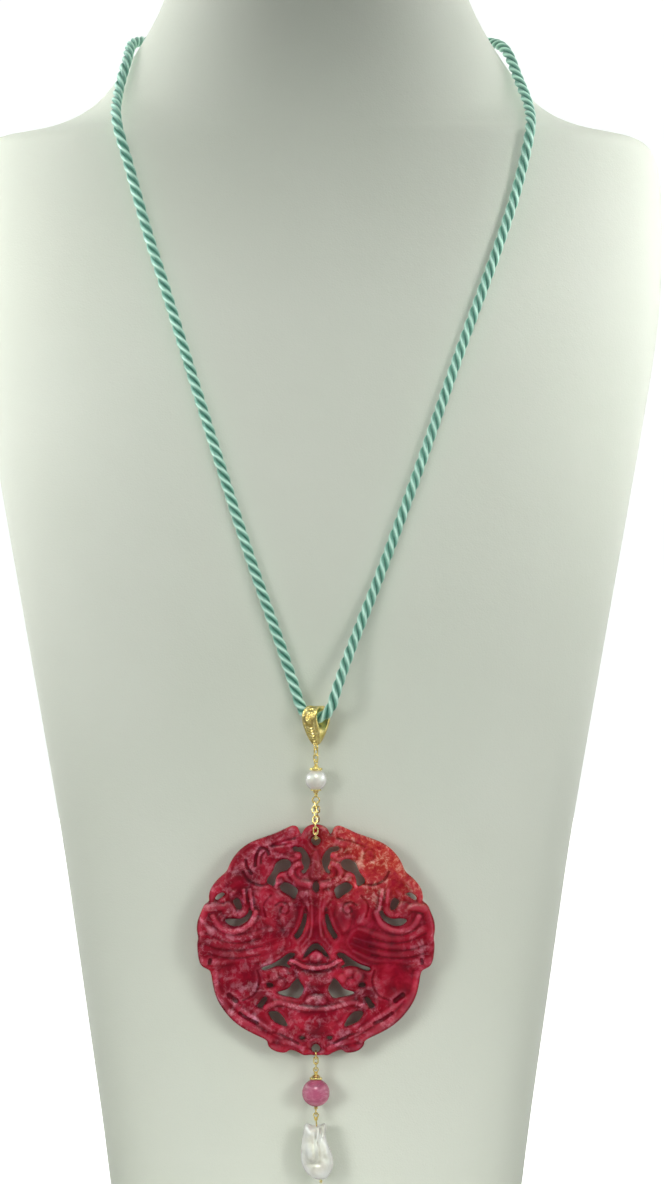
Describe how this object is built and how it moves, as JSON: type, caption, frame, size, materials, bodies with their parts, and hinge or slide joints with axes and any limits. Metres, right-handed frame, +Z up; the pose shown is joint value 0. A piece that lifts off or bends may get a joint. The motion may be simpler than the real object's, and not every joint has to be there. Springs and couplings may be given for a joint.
{
  "type": "jade pendant necklace on a neck bust",
  "caption": "Carved, pierced jade disc with pearls and a stone bead on a twisted silk cord, hung from a gold bail on a plain necklace bust.",
  "frame": {"origin": "middle of the bust's flat base, on the surface that it stands on", "axes": "+Z up, -Y the way the bust's chest and the pendant face, +X to the viewer's right"},
  "size_m": [0.2018, 0.0918, 0.38],
  "materials": {
    "leatherette": "matt, fine grain",
    "silk_cord": "satin, three strands twisted",
    "gold": "polished gold plate",
    "jade": "polished, marbled",
    "pearl": "lustrous",
    "pink_stone": "polished, veined"
  },
  "bodies": {
    "display": {"neck_bust": "leatherette", "cord": "silk_cord", "cord_clasp": "gold"},
    "drop": {"bail": "gold", "short_link_1": "gold", "short_link_2": "gold", "pearl_pin": "gold", "pearl_cap_top": "gold", "pearl": "pearl", "pearl_cap_low": "gold", "front_link_1": "gold", "front_link_2": "gold", "front_link_3": "gold", "front_link_4": "gold", "front_link_5": "gold", "front_link_6": "gold", "front_link_7": "gold", "back_link_1": "gold", "back_link_2": "gold", "back_link_3": "gold", "back_link_4": "gold", "back_link_5": "gold", "back_link_6": "gold", "back_link_7": "gold", "hole_link": "gold", "jade_disc": "jade", "lower_ring": "gold", "low_link_1": "gold", "low_link_2": "gold", "bead_pin": "gold", "bead_cap": "gold", "stone_bead": "pink_stone", "drop_pin": "gold", "drop_pearl": "pearl"}
  },
  "joints": [
    {"name": "drop_swing", "type": "hinge", "parent": "display", "child": "drop", "pos_m": [0, -0.0413, 0.1455], "axis": [-0.788, 0.6157, 0], "range_deg": [0, 75]}
  ]
}
